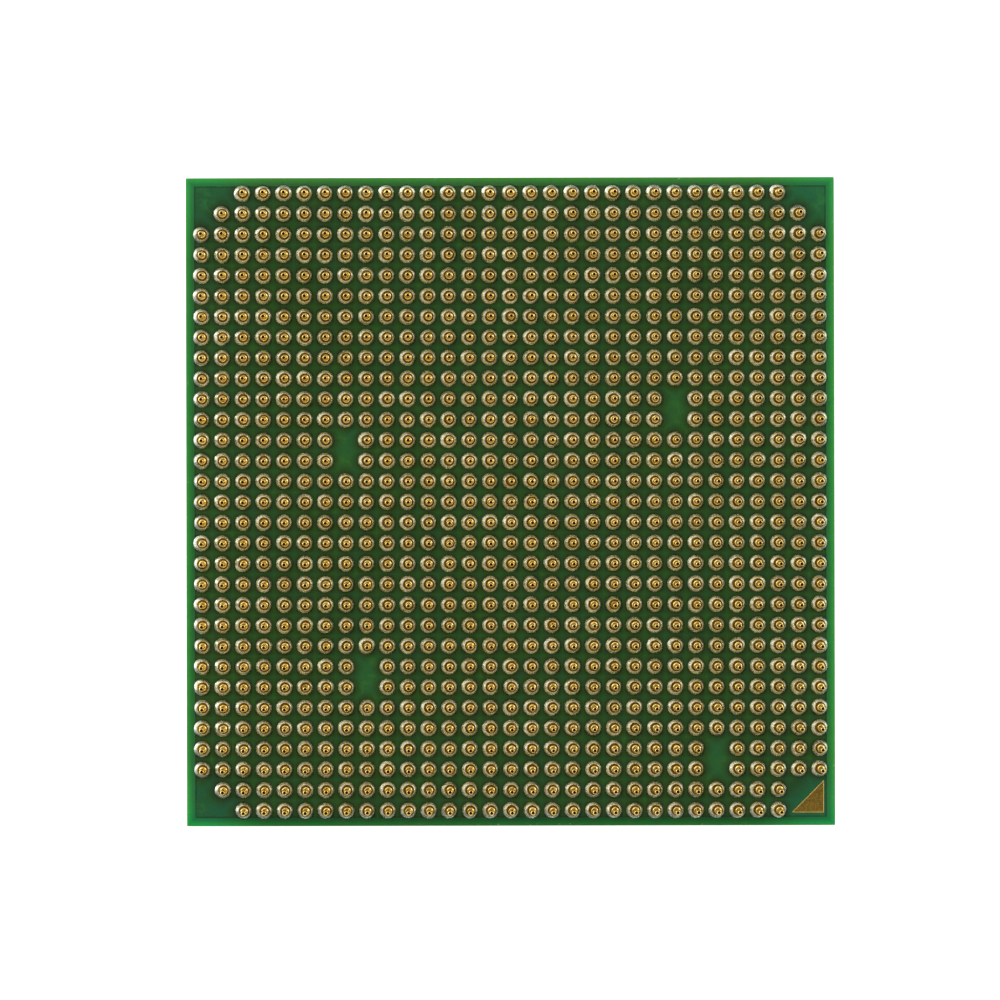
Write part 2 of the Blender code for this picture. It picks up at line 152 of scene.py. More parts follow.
# ---------------------------------------------------------------------------
# Node-tree helper
# ---------------------------------------------------------------------------
class Tree:
    def __init__(self, tree):
        self.t = tree
        self.t.nodes.clear()

    def node(self, kind, **props):
        made = self.t.nodes.new(kind)
        for key, value in props.items():
            setattr(made, key, value)
        return made

    def put(self, socket, value):
        if isinstance(value, bpy.types.NodeSocket):
            self.t.links.new(value, socket)
        elif value is not None:
            if hasattr(socket.default_value, "__len__") and not hasattr(value, "__len__"):
                value = [value] * len(socket.default_value)
            if hasattr(value, "__len__") and len(socket.default_value) == 4 and len(value) == 3:
                value = (*value, 1.0)
            socket.default_value = value

    def math(self, op, a, b=None, c=None, clamp=False):
        made = self.node("ShaderNodeMath", operation=op, use_clamp=clamp)
        for k, v in enumerate((a, b, c)):
            if v is not None:
                self.put(made.inputs[k], v)
        return made.outputs[0]

    def add(self, a, b):
        return self.math("ADD", a, b)

    def sub(self, a, b):
        return self.math("SUBTRACT", a, b)

    def mul(self, a, b, clamp=False):
        return self.math("MULTIPLY", a, b, clamp=clamp)

    def vmath(self, op, a, b=None, scale=None):
        made = self.node("ShaderNodeVectorMath", operation=op)
        self.put(made.inputs[0], a)
        if b is not None:
            self.put(made.inputs[1], b)
        if scale is not None:
            self.put(made.inputs["Scale"], scale)
        return made.outputs["Value"] if op in ("DOT_PRODUCT", "LENGTH", "DISTANCE") else made.outputs["Vector"]

    def step(self, x, low, high, out0=0.0, out1=1.0):
        made = self.node("ShaderNodeMapRange", interpolation_type="SMOOTHSTEP")
        for key, v in (("Value", x), ("From Min", low), ("From Max", high), ("To Min", out0), ("To Max", out1)):
            self.put(made.inputs[key], v)
        return made.outputs["Result"]

    def linear(self, x, low, high, out0=0.0, out1=1.0):
        made = self.node("ShaderNodeMapRange", interpolation_type="LINEAR", clamp=True)
        for key, v in (("Value", x), ("From Min", low), ("From Max", high), ("To Min", out0), ("To Max", out1)):
            self.put(made.inputs[key], v)
        return made.outputs["Result"]

    def mix(self, fac, a, b, blend="MIX"):
        made = self.node("ShaderNodeMix", data_type="RGBA", blend_type=blend)
        self.put(made.inputs[0], fac)
        self.put(made.inputs[6], a)
        self.put(made.inputs[7], b)
        return made.outputs[2]

    def noise(self, vector, scale, detail=3.0, rough=0.55, distortion=0.0):
        made = self.node("ShaderNodeTexNoise")
        self.put(made.inputs["Vector"], vector)
        self.put(made.inputs["Scale"], scale)
        self.put(made.inputs["Detail"], detail)
        self.put(made.inputs["Roughness"], rough)
        self.put(made.inputs["Distortion"], distortion)
        return made.outputs[0]

    def voronoi(self, vector, scale, feature="F1"):
        made = self.node("ShaderNodeTexVoronoi", feature=feature)
        self.put(made.inputs["Vector"], vector)
        self.put(made.inputs["Scale"], scale)
        return made.outputs["Distance"]

    def attr(self, name):
        return self.node("ShaderNodeAttribute", attribute_name=name).outputs["Fac"]

    def place(self, stretch=(1.0, 1.0, 1.0)):
        """Object coordinates in millimetres, optionally stretched."""
        coord = self.node("ShaderNodeTexCoord")
        made = self.node("ShaderNodeMapping")
        self.put(made.inputs["Vector"], coord.outputs["Object"])
        made.inputs["Scale"].default_value = [s / MM for s in stretch]
        return made.outputs["Vector"]

    def xyz(self, vector):
        made = self.node("ShaderNodeSeparateXYZ")
        self.put(made.inputs[0], vector)
        return made.outputs

    def bump(self, height, strength, distance_mm, normal=None):
        made = self.node("ShaderNodeBump")
        self.put(made.inputs["Height"], height)
        made.inputs["Strength"].default_value = strength
        made.inputs["Distance"].default_value = distance_mm * MM
        if normal is not None:
            self.put(made.inputs["Normal"], normal)
        return made.outputs["Normal"]

    def principled(self, **values):
        made = self.node("ShaderNodeBsdfPrincipled")
        for key, value in values.items():
            self.put(made.inputs[key.replace("_", " ")], value)
        out = self.node("ShaderNodeOutputMaterial")
        self.t.links.new(made.outputs[0], out.inputs[0])
        return made


def material(name):
    made = bpy.data.materials.new(name)
    made.use_nodes = True
    return made, Tree(made.node_tree)


def srgb(r, g, b):
    return tuple((c / 255 / 12.92) if c <= 10 else ((c / 255 + 0.055) / 1.055) ** 2.4 for c in (r, g, b))


def wear(obj, look):
    obj.data.materials.clear()
    obj.data.materials.append(look)


# ---------------------------------------------------------------------------
# Materials
# ---------------------------------------------------------------------------
def mask_material():
    """Green solder mask: darker where copper lies under it, a dark line at the copper's
    edge, lighter bare laminate outside with painted light and shade differing from side to side, mottled, and painted
    shade round each opening and on its wall."""
    look, t = material("solder_mask_green")
    p = t.place()
    x, y, z = t.xyz(p)
    ax, ay = t.math("ABSOLUTE", x), t.math("ABSOLUTE", y)
    edge = t.sub(HALF, t.math("MAXIMUM", ax, ay))           # distance in from the package's edge
    wobble = t.mul(t.sub(t.noise(p, 2.2, 2.0), 0.5), 0.05)
    inset = t.add(edge, wobble)
    line_at = HALF - CU_HALF
    copper = t.step(inset, line_at - 0.035, line_at + 0.025)
    line = t.math("MULTIPLY", t.step(inset, line_at - 0.03, line_at + 0.02), t.step(inset, line_at + 0.13, line_at + 0.05))

    broad = t.noise(p, 0.16, 3.0, 0.55)
    mottle = t.noise(p, 1.1, 4.0, 0.62, 0.4)
    grain = t.noise(p, 7.0, 3.0, 0.6)

    # bare laminate margin: yellowish at the very edge, deeper towards the copper, with
    #     painted light and shade making each side and corner a little lighter or darker
    right = t.step(x, HALF - 1.2, HALF - 0.3)
    upper = t.step(y, HALF - 1.2, HALF - 0.3)
    lower = t.step(t.mul(y, -1.0), HALF - 1.2, HALF - 0.3)
    depth = t.add(edge, t.mul(t.sub(mottle, 0.5), 0.16))
    margin = t.mix(t.step(depth, 0.08, 0.44), MARGIN_OUTER, MARGIN_INNER)
    margin = t.mix(t.step(depth, 0.17, 0.02), margin, MARGIN_RIM)
    # painted light and shade: one factor for each side and corner of the margin
    side_light = t.mix(right, SIDE_LIGHT_LEFT, SIDE_LIGHT_RIGHT)
    side_light = t.mix(upper, side_light, SIDE_LIGHT_TOP)
    side_light = t.mix(lower, side_light, SIDE_LIGHT_BOTTOM)
    corner = t.step(t.mul(ax, ay), 290.0, 385.0)
    side_light = t.mix(corner, side_light, t.mix(lower, SIDE_LIGHT_CORNER, SIDE_LIGHT_CORNER_LOW))
    margin = t.mix(1.0, margin, side_light, "MULTIPLY")
    margin = t.mix(t.step(broad, 0.38, 0.66, 0.0, 0.5), margin, t.mix(1.0, margin, TEAL, "MULTIPLY"))

    # field over copper
    field = t.mix(t.step(broad, 0.38, 0.62), FIELD_A, FIELD_B)
    field = t.mix(t.step(mottle, 0.46, 0.66, 0.0, 0.7), field, FIELD_TEAL)
    field = t.mix(t.step(mottle, 0.47, 0.32, 0.0, 0.8), field, FIELD_LIGHT)
    field = t.mix(t.step(grain, 0.50, 0.70, 0.0, 0.40), field, FIELD_DEEP)
    corner_tint = t.mix(t.step(x, -5.0, 5.0), CORNER_FIELD, CORNER_FIELD_RIGHT)
    field = t.mix(t.step(t.mul(ax, ay), 272.0, 318.0), field, t.mix(1.0, field, corner_tint, "MULTIPLY"))
    # painted shade: a darker, browner green round each pin's opening and between the pins
    shade_halo = t.math("POWER", t.attr("shade_halo"), 1.3)
    field = t.mix(t.mul(shade_halo, 0.72), field, PAINTED_SHADE)

    colour = t.mix(copper, margin, field)
    colour = t.mix(t.mul(line, t.linear(mottle, 0.3, 0.7, 0.35, 0.75)), colour, LINE)
    # painted shade on the sloping wall of each opening
    colour = t.mix(t.mul(t.attr("wall"), 0.5), colour, PAINTED_SHADE)

    # small pale nicks along the very edge
    nick = t.math("MULTIPLY", t.step(t.noise(p, 3.1, 2.0, 0.7), 0.66, 0.72), t.step(edge, 0.20, 0.03))
    colour = t.mix(t.mul(nick, 0.8), colour, NICK)
    height = t.add(t.mul(copper, 0.5), t.add(t.mul(mottle, 0.25), t.mul(grain, 0.06)))
    normal = t.bump(height, 0.5, 0.03)
    rough = t.linear(mottle, 0.3, 0.7, MASK_ROUGH - 0.05, MASK_ROUGH + 0.08)
    t.principled(Base_Color=colour, Roughness=rough, Normal=normal, IOR=1.5, Specular_IOR_Level=MASK_SPEC)
    return look


MARGIN_RIM = srgb(68, 148, 60)
MARGIN_OUTER = srgb(54, 144, 60)
MARGIN_INNER = srgb(46, 110, 58)
# painted light and shade on each side and corner of the margin
SIDE_LIGHT_LEFT = (0.94, 1.10, 1.10)
SIDE_LIGHT_RIGHT = (1.17, 1.44, 1.46)
SIDE_LIGHT_TOP = (1.30, 1.00, 0.94)
SIDE_LIGHT_BOTTOM = (0.54, 0.73, 0.74)
SIDE_LIGHT_CORNER = (0.91, 1.44, 1.62)
SIDE_LIGHT_CORNER_LOW = (0.45, 1.40, 1.62)
TEAL = (0.78, 1.0, 1.18)
FIELD_A = srgb(55, 112, 54)
FIELD_B = srgb(51, 115, 62)
FIELD_LIGHT = srgb(68, 132, 64)
FIELD_TEAL = srgb(39, 111, 66)
FIELD_DEEP = srgb(37, 89, 41)
CORNER_FIELD = (0.62, 0.78, 1.14)
CORNER_FIELD_RIGHT = (0.63, 0.96, 1.36)
PAINTED_SHADE = srgb(45, 53, 18)
LINE = srgb(28, 50, 26)
NICK = srgb(150, 190, 140)
MASK_ROUGH = 0.34
MASK_SPEC = 0.35


def gold_material():
    """Gold plating over round pins: bright and worn on the tip and shank, brown where the
    head meets the solder, from flux stain and painted shade in that crevice."""
    look, t = material("gold_plated_pin")
    p = t.place()
    h = t.attr("height")                                    # 0 at the laminate, millimetres
    vary = t.attr("vary")                                   # 0..1, one value for each pin
    fine = t.noise(p, 16.0, 3.0, 0.6)
    coarse = t.noise(p, 4.0, 2.0, 0.5)
    bright = t.mix(vary, GOLD_A, GOLD_B)
    bright = t.mix(t.step(fine, 0.5, 0.78, 0.0, 0.5), bright, GOLD_DULL)
    # the foot's brown: flux stain with painted shade where the head meets the collar
    foot = t.step(t.add(h, t.mul(t.sub(coarse, 0.5), 0.06)), GOLD_FOOT_HIGH, GOLD_FOOT_LOW)
    colour = t.mix(t.mul(foot, 0.97), bright, GOLD_FOOT_STAIN_AND_SHADE)
    tip = t.step(h, 1.93, 2.0)
    rough = t.add(t.linear(fine, 0.3, 0.7, 0.10, 0.22), t.mul(foot, 0.16))
    rough = t.add(t.mul(rough, t.sub(1.0, t.mul(tip, 0.6))), 0.01)
    relief = t.mul(t.add(t.mul(fine, 0.4), coarse), t.sub(1.0, t.mul(tip, 0.85)))
    normal = t.bump(relief, 0.22, 0.008)
    metal = t.sub(1.0, t.mul(foot, 0.3))                    # residue on the plating
    t.principled(Base_Color=colour, Metallic=metal, Roughness=rough, Normal=normal,
                 Specular_Tint=t.mix(foot, (1.0, 1.0, 1.0), FLUX_AND_SHADE_TINT))
    return look


GOLD_A = srgb(254, 231, 150)
GOLD_B = srgb(248, 218, 124)
GOLD_DULL = srgb(214, 168, 74)
# flux stain plus painted crevice shade
GOLD_FOOT_STAIN_AND_SHADE = srgb(166, 116, 2)
GOLD_FOOT_LOW, GOLD_FOOT_HIGH = 0.354, 0.397


def solder_material():
    """Reflowed tin-silver collars: pale, grainy, with olive stains and pits."""
    look, t = material("reflowed_solder")
    p = t.place()
    h = t.attr("height")
    vary = t.attr("vary")
    fine = t.noise(p, 13.0, 4.0, 0.65, 0.6)
    blot = t.noise(p, 5.0, 3.0, 0.6)
    pits = t.voronoi(p, 9.0)
    colour = t.mix(t.step(fine, 0.38, 0.70), SOLDER_A, SOLDER_B)
    colour = t.mix(t.step(blot, 0.50, 0.74, 0.0, 0.75), colour, SOLDER_STAIN)
    colour = t.mix(t.mul(vary, 0.25), colour, SOLDER_STAIN)
    colour = t.mix(t.step(pits, 0.14, 0.05, 0.0, 0.30), colour, SOLDER_PIT)
    colour = t.mix(t.step(t.attr("reach"), 0.70, 0.20, 0.0, 0.38), colour, SOLDER_STAIN)
    # brown at the inner edge, by the pin: flux stain with painted shade in the crevice
    inner = t.step(t.add(t.attr("reach"), t.mul(t.sub(blot, 0.5), 0.3)), 0.28, 0.05)
    colour = t.mix(t.mul(inner, 0.97), colour, SOLDER_FLUX_AND_SHADE)
    rough = t.linear(fine, 0.3, 0.72, SOLDER_ROUGH_LOW, SOLDER_ROUGH_HIGH)
    height = t.add(t.mul(fine, 0.6), t.add(t.mul(blot, 0.9), t.mul(t.step(pits, 0.0, 0.3), 0.3)))
    normal = t.bump(height, 0.70, 0.030)
    metal = t.sub(1.0, t.mul(inner, 0.30))
    t.principled(Base_Color=colour, Metallic=metal, Roughness=rough, Normal=normal,
                 Specular_Tint=t.mix(inner, (1.0, 1.0, 1.0), FLUX_AND_SHADE_TINT))
    return look


SOLDER_A = srgb(222, 228, 219)
SOLDER_B = srgb(190, 196, 170)
SOLDER_STAIN = srgb(150, 146, 86)
SOLDER_PIT = srgb(84, 80, 44)
# flux stain plus painted crevice shade
SOLDER_FLUX_AND_SHADE = srgb(150, 108, 4)
SOLDER_ROUGH_LOW, SOLDER_ROUGH_HIGH = 0.16, 0.36


def marker_material():
    """Thin gold flash over a copper pad, stained and mottled, with a painted highlight on its raised rim."""
    look, t = material("marker_gold")
    p = t.place()
    rim = t.attr("rim")
    fine = t.noise(p, 13.0, 4.0, 0.72)
    blot = t.noise(p, 3.6, 4.0, 0.65, 0.5)
    colour = t.mix(t.step(blot, 0.42, 0.60), MARK_A, MARK_B)
    colour = t.mix(t.step(fine, 0.52, 0.68, 0.0, 0.9), colour, MARK_C)
    colour = t.mix(t.step(fine, 0.48, 0.34, 0.0, 0.85), colour, MARK_D)
    # painted highlight along the raised rim
    colour = t.mix(rim, colour, MARK_RIM_HIGHLIGHT)
    rough = t.linear(fine, 0.3, 0.7, 0.36, 0.52)
    normal = t.bump(t.add(fine, t.mul(blot, 0.6)), 0.6, 0.03)
    t.principled(Base_Color=colour, Metallic=0.75, Roughness=rough, Normal=normal)
    return look


# reflection tint for the stained and painted-shade foot and inner collar
FLUX_AND_SHADE_TINT = (0.70, 0.48, 0.02)
MARK_A = srgb(156, 125, 49)
MARK_B = srgb(134, 117, 46)
MARK_C = srgb(190, 155, 80)
MARK_D = srgb(101, 80, 25)
MARK_RIM_HIGHLIGHT = srgb(250, 222, 136)


def laminate_material(name, pale, deep, fibre, layers):
    """A routed laminate edge: resin with glass-fibre streaks that run along the board."""
    look, t = material(name)
    p = t.place()
    long_x = t.place((0.35, 0.35, 16.0))
    weave = t.noise(long_x, 1.6, 3.0, 0.6)
    grain = t.noise(p, 11.0, 4.0, 0.7)
    tool = t.noise(t.place((2.6, 2.6, 0.25)), 2.4, 2.0, 0.6)
    colour = t.mix(t.step(weave, 0.4, 0.62), deep, pale)
    colour = t.mix(t.step(grain, 0.50, 0.74, 0.0, 0.6), colour, fibre)
    band = t.math("SINE", t.mul(t.xyz(p)[2], layers))
    colour = t.mix(t.linear(band, -1.0, 1.0, 0.0, 0.35), colour, deep)
    colour = t.mix(t.step(tool, 0.52, 0.72, 0.0, 0.4), colour, deep)
    normal = t.bump(t.add(grain, t.mul(tool, 1.2)), 0.5, 0.03)
    t.principled(Base_Color=colour, Roughness=t.linear(grain, 0.3, 0.7, 0.48, 0.72), Normal=normal)
    return look


def metal_material(name, light, dark, rough_low, rough_high, stretch, metallic=1.0, bump=0.25, scale=5.0):
    """Plated or bare metal with fine directional marks and faint stains."""
    look, t = material(name)
    marks = t.noise(t.place(stretch), scale, 4.0, 0.65)
    stain = t.noise(t.place(), 0.35, 4.0, 0.6, 0.8)
    spots = t.noise(t.place(), 6.0, 3.0, 0.6)
    colour = t.mix(t.step(marks, 0.35, 0.68), dark, light)
    colour = t.mix(t.step(stain, 0.45, 0.75, 0.0, 0.4), colour, dark)
    colour = t.mix(t.step(spots, 0.62, 0.75, 0.0, 0.3), colour, dark)
    rough = t.add(t.linear(marks, 0.3, 0.7, rough_low, rough_high), t.step(stain, 0.5, 0.8, 0.0, 0.08))
    normal = t.bump(t.add(marks, t.mul(spots, 0.3)), bump, 0.02)
    t.principled(Base_Color=colour, Metallic=metallic, Roughness=rough, Normal=normal)
    return look


def plain_material(name, light, dark, rough_low, rough_high, scale, metallic=0.0, bump=0.4):
    look, t = material(name)
    p = t.place()
    a = t.noise(p, scale, 4.0, 0.65)
    b = t.noise(p, scale * 0.2, 2.0, 0.5)
    colour = t.mix(t.step(a, 0.35, 0.68), dark, light)
    colour = t.mix(t.step(b, 0.4, 0.7, 0.0, 0.5), colour, dark)
    normal = t.bump(t.add(a, t.mul(b, 0.5)), bump, 0.03)
    t.principled(Base_Color=colour, Metallic=metallic, Roughness=t.linear(a, 0.3, 0.7, rough_low, rough_high), Normal=normal)
    return look


def capacitor_material(name, axis):
    """Tan ceramic in the middle, tinned end caps, from the chip's own length."""
    look, t = material(name)
    coord = t.node("ShaderNodeTexCoord").outputs["Generated"]
    along = t.xyz(coord)[axis]
    end = t.math("MAXIMUM", t.step(along, 0.22, 0.18), t.step(along, 0.78, 0.82))
    p = t.place()
    fine = t.noise(p, 14.0, 4.0, 0.65)
    ceramic = t.mix(t.step(fine, 0.35, 0.7), srgb(150, 118, 84), srgb(176, 146, 108))
    tin = t.mix(t.step(fine, 0.35, 0.7), srgb(196, 194, 186), srgb(224, 222, 214))
    colour = t.mix(end, ceramic, tin)
    normal = t.bump(fine, 0.4, 0.02)
    t.principled(Base_Color=colour, Metallic=end, Roughness=t.linear(fine, 0.3, 0.7, 0.32, 0.5), Normal=normal)
    return look


MASK = mask_material()
GOLD = gold_material()
SOLDER = solder_material()
MARKER = marker_material()
BUILD_UP = laminate_material("build_up_edge", srgb(96, 108, 58), srgb(60, 80, 38), srgb(124, 130, 84), 70.0)
CORE = laminate_material("glass_epoxy_edge", srgb(142, 138, 86), srgb(112, 110, 62), srgb(172, 168, 120), 44.0)
COPPER = metal_material("copper_foil", srgb(214, 140, 104), srgb(168, 96, 62), 0.30, 0.48, (1.0, 1.0, 1.0))
NICKEL = metal_material("nickel_plate", srgb(182, 180, 175), srgb(158, 155, 149), 0.24, 0.36, (0.45, 0.45, 2.6), bump=0.12, scale=2.0)
SEALANT = plain_material("lid_sealant", srgb(52, 52, 54), srgb(30, 30, 32), 0.5, 0.72, 6.0)
INTERFACE = plain_material("thermal_interface", srgb(158, 160, 162), srgb(118, 120, 124), 0.4, 0.6, 7.0, 0.6)
SILICON = plain_material("silicon_die", srgb(74, 78, 90), srgb(52, 54, 66), 0.12, 0.22, 2.0, 0.35, 0.1)
BUMPS = plain_material("bump_solder", srgb(190, 188, 178), srgb(140, 138, 130), 0.32, 0.5, 12.0, 0.9)
EPOXY = plain_material("underfill_epoxy", srgb(44, 48, 58), srgb(26, 28, 36), 0.35, 0.5, 5.0)
CAP_X = capacitor_material("capacitor_x", 0)
CAP_Y = capacitor_material("capacitor_y", 1)


# ---------------------------------------------------------------------------
# Pins and solder collars, row by row
# ---------------------------------------------------------------------------
# (radius, height above the laminate): head, shoulder, shank, rounded tip
PIN_PROFILE = [
    (0.306, -0.018), (0.306, 0.09), (0.303, 0.150), (0.293, 0.200), (0.277, 0.248), (0.258, 0.295),
    (0.243, 0.334), (0.230, 0.359), (0.217, 0.377), (0.201, 0.389), (0.185, 0.396), (0.171, 0.401), (0.162, 0.409),
    (0.1575, 0.430), (0.1545, 0.54), (0.1525, 0.70), (0.1525, 1.30), (0.1525, 1.915), (0.1505, 1.955), (0.1465, 1.978),
    (0.1400, 1.9950), (0.1320, 2.0065), (0.1220, 2.0152), (0.1110, 2.0212), (0.1000, 2.0250), (0.0850, 2.0274),
    (0.0560, 2.0290), (0.0300, 2.0295),
]
COLLAR_PROFILE = [
    (0.288, -0.016), (0.288, 0.09), (0.294, 0.146), (0.303, 0.167), (0.317, 0.172), (0.338, 0.167), (0.364, 0.155),
    (0.392, 0.138), (0.421, 0.116), (0.449, 0.089), (0.475, 0.059), (0.498, 0.028), (0.513, 0.006), (0.526, -0.016),
]
HEAD_SHIFT = 0.044                       # the heads sit a touch towards +X of their pads
SHOULDER_SHIFT = 0.052                   # and their shoulders a little further
COLLAR_SHIFT = -0.003                    # outer edge of the collars
PIN_SEG, COLLAR_SEG = 20, 26
random_state = np.random.default_rng(940)


def build_pins(name, y, xs):
    m = len(PIN_PROFILE)
    seg = PIN_SEG
    ang = np.arange(seg) * 2 * math.pi / seg
    quads, tris = lathe_faces(m, seg, m * seg, m * seg + 1)
    all_v, all_q, all_t, height, vary = [], [], [], [], []
    per = m * seg + 2
    for k, x in enumerate(xs):
        r = np.array([a for a, _ in PIN_PROFILE])
        h = np.array([b for _, b in PIN_PROFILE])
        top_shift = random_state.normal(0, 0.004)
        scale_h = np.where(h > 1.0, 1.0, 1.0 + random_state.normal(0, 0.05))
        h = h * scale_h
        tip = h > 1.8
        h[tip] += min(top_shift, 0.0)
        shoulder = (h > 0.15) & (h < 0.75)
        r = r + np.where(shoulder, random_state.normal(0, 0.006), 0.0)
        lean = random_state.normal(0, 0.006, 2)                 # millimetres of lean at the tip
        a2, p2 = random_state.uniform(0.0, 0.022), random_state.uniform(0, 2 * math.pi)
        a3, p3 = random_state.uniform(0.0, 0.015), random_state.uniform(0, 2 * math.pi)
        soft = np.interp(h, [0.0, 0.15, 0.45, 0.7], [0.3, 1.0, 1.0, 0.0])
        wave = 1 + soft[:, None] * (a2 * np.cos(2 * ang + p2) + a3 * np.cos(3 * ang + p3))[None, :]
        slide = np.interp(h, [0.22, 0.37, 0.41, 0.60], [HEAD_SHIFT, SHOULDER_SHIFT, SHOULDER_SHIFT, 0.0])[:, None]
        vx = x + slide + lean[0] * (h[:, None] / STANDOUT) + r[:, None] * wave * np.cos(ang)[None, :]
        vy = y + lean[1] * (h[:, None] / STANDOUT) + r[:, None] * wave * np.sin(ang)[None, :]
        # the shoulder's ring is never quite level
        tilt = random_state.normal(0, 0.012, 2)
        vz = h[:, None] + np.where(shoulder, 1.0, 0.0)[:, None] * (
            tilt[0] * np.cos(ang) + tilt[1] * np.sin(ang))[None, :]
        v = np.stack([vx, vy, TOP + vz], -1).reshape(-1, 3)
        top_h = STANDOUT + min(top_shift, 0.0)
        ends = np.array([[x, y, TOP - 0.018], [x + lean[0], y + lean[1], TOP + top_h]])
        all_v.append(np.concatenate([v, ends]))
        all_q.append(quads + k * per)
        all_t.append(tris + k * per)
        stain = np.array([b for _, b in PIN_PROFILE]) + random_state.normal(0, 0.004)
        height.append(np.concatenate([np.repeat(stain, seg), [0.0, top_h]]))
        vary.append(np.full(per, random_state.uniform()))
    return mesh_object(
        name, np.concatenate(all_v), np.concatenate(all_q), np.concatenate(all_t), sharp=60,
        attrs={"height": np.concatenate(height), "vary": np.concatenate(vary)},
    )


def build_collars(name, y, xs):
    m = len(COLLAR_PROFILE)
    seg = COLLAR_SEG
    ang = np.arange(seg) * 2 * math.pi / seg
    quads, _ = lathe_faces(m, seg, None, None, ring_closed=True)
    quads = quads[:, ::-1]
    all_v, all_q, height, vary, reach = [], [], [], [], []
    per = m * seg
    base_r = np.array([a for a, _ in COLLAR_PROFILE])
    base_h = np.array([b for _, b in COLLAR_PROFILE])
    out = np.interp(base_r, [0.29, 0.50], [0.0, 1.0])        # 0 at the pin, 1 at the outer edge
    for k, x in enumerate(xs):
        wave_r = np.zeros(seg)
        wave_h = np.zeros(seg)
        for order in range(1, 7):
            size = (0.008, 0.005, 0.003, 0.002, 0.001, 0.0008)[order - 1]
            wave_r += random_state.normal(0, size) * np.cos(order * ang + random_state.uniform(0, 2 * math.pi))
            size = (0.13, 0.09, 0.06, 0.04, 0.025, 0.015)[order - 1]
            wave_h += random_state.normal(0, size) * np.cos(order * ang + random_state.uniform(0, 2 * math.pi))
        full_r = np.clip(base_r[:, None] + out[:, None] * (wave_r[None, :] + random_state.normal(0, 0.005)), 0.2, 0.542)
        rise = np.clip(1 + wave_h, 0.62, 1.4) * np.clip(random_state.normal(1.0, 0.10), 0.75, 1.3)
        h = np.where(base_h[:, None] > 0.0, base_h[:, None] * rise[None, :], base_h[:, None] + 0 * rise[None, :])
        # the grainy skin of reflowed solder, kept off the buried faces
        skin = random_state.normal(0, 0.0018, (m, seg)) * (base_h[:, None] > 0.02)
        h = h + skin
        vx = x + (HEAD_SHIFT * (1 - out) + COLLAR_SHIFT * out)[:, None] + full_r * np.cos(ang)[None, :]
        vy = y + full_r * np.sin(ang)[None, :]
        v = np.stack([vx, vy, TOP + h], -1).reshape(-1, 3)
        all_v.append(v)
        all_q.append(quads + k * per)
        height.append(h.ravel())
        vary.append(np.full(per, random_state.uniform()))
        reach.append(np.repeat(out, seg))
    return mesh_object(
        name, np.concatenate(all_v), np.concatenate(all_q), None, sharp=80,
        attrs={"height": np.concatenate(height), "vary": np.concatenate(vary), "reach": np.concatenate(reach)},
    )


for node in ROWS:
    y, xs = PINS[node]
    letter = node[len("pin_row_"):]
    pins = build_pins("pins_" + letter, y, xs)
    wear(pins, GOLD)
    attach(pins, "root")
    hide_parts(node)
    collars = build_collars("solder_joints_" + letter, y, xs)
    wear(collars, SOLDER)
    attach(collars, "root")
    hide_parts(node)


# ---------------------------------------------------------------------------
# Pin-side solder mask: a plate with a shallow opening at each pin and at the marker
# ---------------------------------------------------------------------------
STEPS = 4                                        # boundary points per cell side
OPEN_R, OPEN_DEPTH = 0.538, 0.022
MARK_RIGHT, MARK_BOTTOM = float(MARK_HI[0]), float(MARK_LO[1])
MARK_LEG = float(MARK_HI[0] - MARK_LO[0])


def marker_triangle(grow):
    x1, y0 = MARK_RIGHT + grow, MARK_BOTTOM - grow
    leg = MARK_LEG + grow * (2 + math.sqrt(2))
    return [(x1, y0), (x1, y0 + leg), (x1 - leg, y0)]


